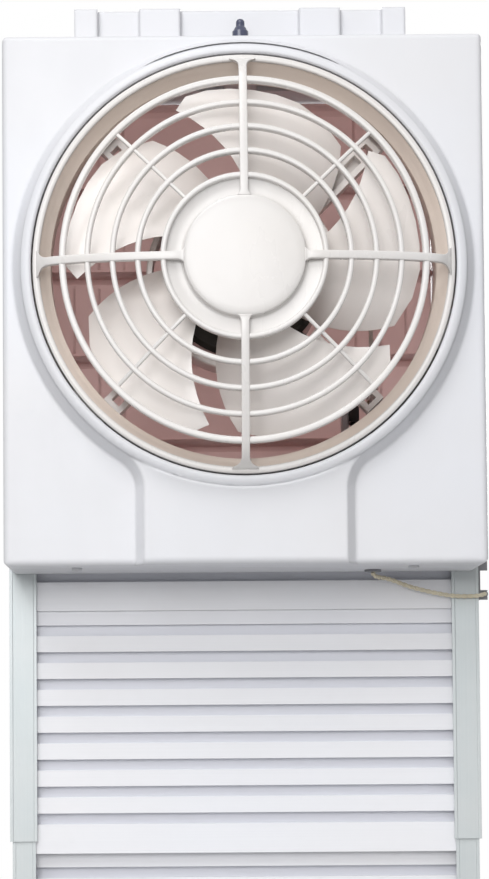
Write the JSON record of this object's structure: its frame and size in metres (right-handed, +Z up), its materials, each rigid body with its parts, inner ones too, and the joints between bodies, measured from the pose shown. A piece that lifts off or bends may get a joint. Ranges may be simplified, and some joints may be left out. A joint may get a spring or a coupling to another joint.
{
  "type": "window exhaust fan",
  "caption": "Window exhaust fan: square fan body with a round domed guard on telescoping side rails above ribbed filler panels, with pull-cord gravity shutters",
  "frame": {"origin": "middle of the underside of the foam seat under the sill channel, half-way between the rails' two faces", "axes": "seen from the room: +X right, +Y outdoors along the fan's axis, +Z up"},
  "size_m": [0.2945, 0.156, 0.7],
  "materials": {
    "white_plastic": "satin, faintly yellowed",
    "guard_plastic": "smooth",
    "cream_plastic": "satin",
    "beige_plastic": "satin",
    "mauve_plastic": "satin",
    "panel_plastic": "satin",
    "rail_aluminium": "clear anodised, satin",
    "motor_enamel": "semi-gloss",
    "steel": "zinc plated",
    "core_steel": "laminated",
    "bronze": "sintered",
    "black_plastic": "satin",
    "navy_plastic": "smooth",
    "grey_plastic": "satin",
    "red_plastic": "smooth",
    "foam": "closed-cell foam",
    "cord": "twisted cotton"
  },
  "bodies": {
    "lower_frame": {"sill_gasket": "foam", "sill_channel": "rail_aluminium", "sill_screws": "steel", "lower_rail_left": "rail_aluminium", "lower_rail_right": "rail_aluminium", "filler_panel_lower": "panel_plastic"},
    "fan_body": {"filler_panel_upper": "panel_plastic", "filler_panel_top": "panel_plastic", "upper_rail_left": "rail_aluminium", "upper_rail_right": "rail_aluminium", "rail_screws": "steel", "rear_casing": "white_plastic", "front_cover": "white_plastic", "cover_screws": "steel", "orifice_plate": "beige_plastic", "orifice_screws": "steel", "stator": "core_steel", "front_bearing": "bronze", "rear_bearing": "bronze", "motor_front_shell": "motor_enamel", "motor_rear_shell": "motor_enamel", "motor_screws": "steel", "motor_bracket": "cream_plastic", "bracket_screws": "steel", "run_capacitor": "grey_plastic", "shutter_frame": "white_plastic", "shutter_screws": "steel", "lever_pin": "steel", "pull_switch": "black_plastic", "mains_gland": "black_plastic", "cord_gland": "grey_plastic", "pull_cord": "cord", "cord_inner": "cord", "cord_bead": "grey_plastic", "cord_cleat": "grey_plastic"},
    "fan_rotor": {"propeller": "cream_plastic", "spinner_nut": "black_plastic", "motor_shaft": "steel", "rotor": "core_steel"},
    "guard": {"guard_grille": "guard_plastic"},
    "vane_1": {"shutter_vane_1": "mauve_plastic"},
    "vane_2": {"shutter_vane_2": "mauve_plastic"},
    "vane_3": {"shutter_vane_3": "mauve_plastic"},
    "vane_4": {"shutter_vane_4": "mauve_plastic"},
    "vane_5": {"shutter_vane_5": "mauve_plastic"},
    "link_bar": {"shutter_link_bar": "beige_plastic"},
    "lever": {"pull_lever": "cream_plastic", "cord_loop": "cord"},
    "plunger": {"switch_plunger": "red_plastic"},
    "top_slide": {"top_plate": "white_plastic"},
    "knob": {"top_knob": "navy_plastic", "jack_screw": "steel"}
  },
  "joints": [
    {"name": "window_height", "type": "slide", "parent": "lower_frame", "child": "fan_body", "axis": [0, 0, 1], "range_m": [0, 0.185]},
    {"name": "fan_spin", "type": "hinge", "parent": "fan_body", "child": "fan_rotor", "pos_m": [0, -0.05, 0.531], "axis": [0, -1, 0], "continuous": true},
    {"name": "guard_twist", "type": "hinge", "parent": "fan_body", "child": "guard", "pos_m": [0, -0.089, 0.531], "axis": [0, -1, 0], "range_deg": [0, 16]},
    {"name": "vane_1_swing", "type": "hinge", "parent": "fan_body", "child": "vane_1", "pos_m": [0, 0.036, 0.657], "axis": [1, 0, 0], "range_deg": [0, 65]},
    {"name": "vane_2_swing", "type": "hinge", "parent": "fan_body", "child": "vane_2", "pos_m": [0, 0.036, 0.603], "axis": [1, 0, 0], "range_deg": [0, 65]},
    {"name": "vane_3_swing", "type": "hinge", "parent": "fan_body", "child": "vane_3", "pos_m": [0, 0.036, 0.549], "axis": [1, 0, 0], "range_deg": [0, 65]},
    {"name": "vane_4_swing", "type": "hinge", "parent": "fan_body", "child": "vane_4", "pos_m": [0, 0.036, 0.495], "axis": [1, 0, 0], "range_deg": [0, 65]},
    {"name": "vane_5_swing", "type": "hinge", "parent": "fan_body", "child": "vane_5", "pos_m": [0, 0.036, 0.441], "axis": [1, 0, 0], "range_deg": [0, 65]},
    {"name": "link_bar_swing", "type": "hinge", "parent": "vane_1", "child": "link_bar", "pos_m": [0.0825, 0.022, 0.657], "axis": [1, 0, 0], "range_deg": [-65, 0]},
    {"name": "lever_pull", "type": "hinge", "parent": "fan_body", "child": "lever", "pos_m": [0.07, 0.002, 0.47], "axis": [1, 0, 0], "range_deg": [0, 65], "deforming": ["cord_inner"]},
    {"name": "switch_press", "type": "slide", "parent": "fan_body", "child": "plunger", "axis": [0, 0, 1], "range_m": [-0.0024, 0]},
    {"name": "top_plate_lift", "type": "slide", "parent": "fan_body", "child": "top_slide", "axis": [0, 0, 1], "range_m": [0, 0.01]},
    {"name": "knob_turn", "type": "hinge", "parent": "fan_body", "child": "knob", "pos_m": [0, -0.045, 0.68], "axis": [0, 0, -1], "range_deg": [0, 1801]}
  ],
  "couplings": [
    {"joint": "vane_2_swing", "follows": "vane_1_swing", "ratio": 1},
    {"joint": "vane_3_swing", "follows": "vane_1_swing", "ratio": 1},
    {"joint": "vane_4_swing", "follows": "vane_1_swing", "ratio": 1},
    {"joint": "vane_5_swing", "follows": "vane_1_swing", "ratio": 1},
    {"joint": "link_bar_swing", "follows": "vane_1_swing", "ratio": -1},
    {"joint": "lever_pull", "follows": "vane_1_swing", "ratio": 1},
    {"joint": "switch_press", "follows": "vane_1_swing", "m_per_rad": -0.0021067},
    {"joint": "knob_turn", "follows": "top_plate_lift", "rad_per_m": 3141.6}
  ]
}
